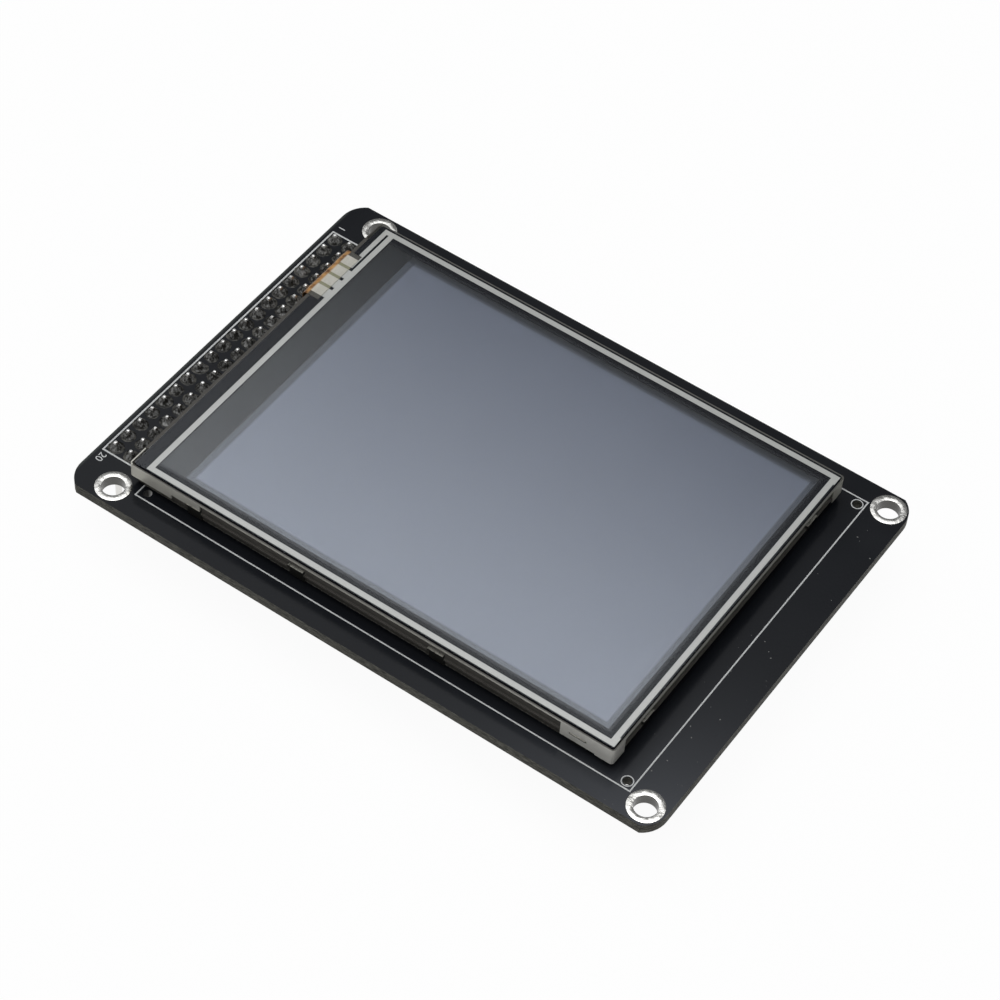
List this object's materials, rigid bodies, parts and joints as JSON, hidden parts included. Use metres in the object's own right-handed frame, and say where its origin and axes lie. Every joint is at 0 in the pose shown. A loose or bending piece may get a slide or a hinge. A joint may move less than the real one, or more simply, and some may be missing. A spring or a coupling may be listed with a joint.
{
  "type": "tft display module",
  "caption": "Colour display module with resistive touch panel on a black carrier board, with a pin header and a card socket behind.",
  "frame": {"origin": "centre of the rectangle of mounting holes, on the underside of the circuit board", "axes": "+Z out of the board towards the viewing side, +X along the board from the pin header towards the plain end, +Y across it"},
  "size_m": [0.0925, 0.0646, 0.0145],
  "materials": {
    "board_mask": "glossy black solder mask over fibreglass board",
    "tin": "bright tin, slightly dished and worn",
    "header_moulding": "black glass-filled nylon",
    "pin_plating": "bright tin over brass",
    "solder": "shiny solder with dark flux round the foot",
    "socket_moulding": "black heat-proof moulding",
    "shell_steel": "bright rolled stainless steel",
    "contact_gold": "thin gold over bronze springs",
    "chip_resin": "black epoxy moulding compound, laser-dulled",
    "capacitor_ceramic": "fired brown ceramic",
    "resistor_coat": "black glaze on white ceramic",
    "foam": "off-white foam tape",
    "frame_steel": "satin warm grey stainless steel",
    "optical_film": "white and clear backlight sheets",
    "flex_film": "amber polyimide film",
    "led": "pale yellow phosphor in a white case",
    "housing_moulding": "dark grey moulded plastic",
    "black_tape": "black light-blocking tape",
    "lcd_screen": "grey-blue polariser over an unlit display",
    "glass": "clear soda-lime glass",
    "display_flex_film": "black-brown coverlay over copper",
    "silver_ink": "printed silver ink",
    "touch_film": "clear hard-coated film over a dark printed border",
    "tail_copper": "tinned conductors under clear film"
  },
  "bodies": {
    "root": {"circuit_board": "board_mask", "mounting_rings": "tin", "header_body": "header_moulding", "header_pins": "pin_plating", "header_solder": "solder", "card_socket_base": "socket_moulding", "card_socket_shell": "shell_steel", "card_socket_contacts": "contact_gold", "touch_controller": "chip_resin", "touch_controller_leads": "tin", "voltage_regulator": "chip_resin", "regulator_leads": "tin", "backlight_transistor": "chip_resin", "transistor_leads": "tin", "capacitors": "capacitor_ceramic", "capacitor_ends": "tin", "resistors": "resistor_coat", "resistor_ends": "tin", "foam_tape": "foam", "back_plate": "frame_steel", "reflector_sheet": "optical_film", "light_guide": "optical_film", "led_strip": "flex_film", "leds": "led", "diffuser_sheet": "optical_film", "lower_prism_sheet": "optical_film", "upper_prism_sheet": "optical_film", "backlight_housing": "housing_moulding", "rim_tape_ring": "black_tape", "rear_polariser": "lcd_screen", "lcd_lower_glass": "glass", "lcd_upper_glass": "glass", "front_polariser": "lcd_screen", "driver_chip": "chip_resin", "display_flex": "display_flex_film", "flex_contacts": "tin", "metal_frame": "frame_steel", "touch_tape_ring": "black_tape", "touch_glass": "glass", "touch_adhesive": "black_tape", "touch_silver": "silver_ink", "touch_film": "touch_film", "touch_flex": "flex_film", "touch_flex_conductors": "tail_copper"}
  },
  "joints": []
}
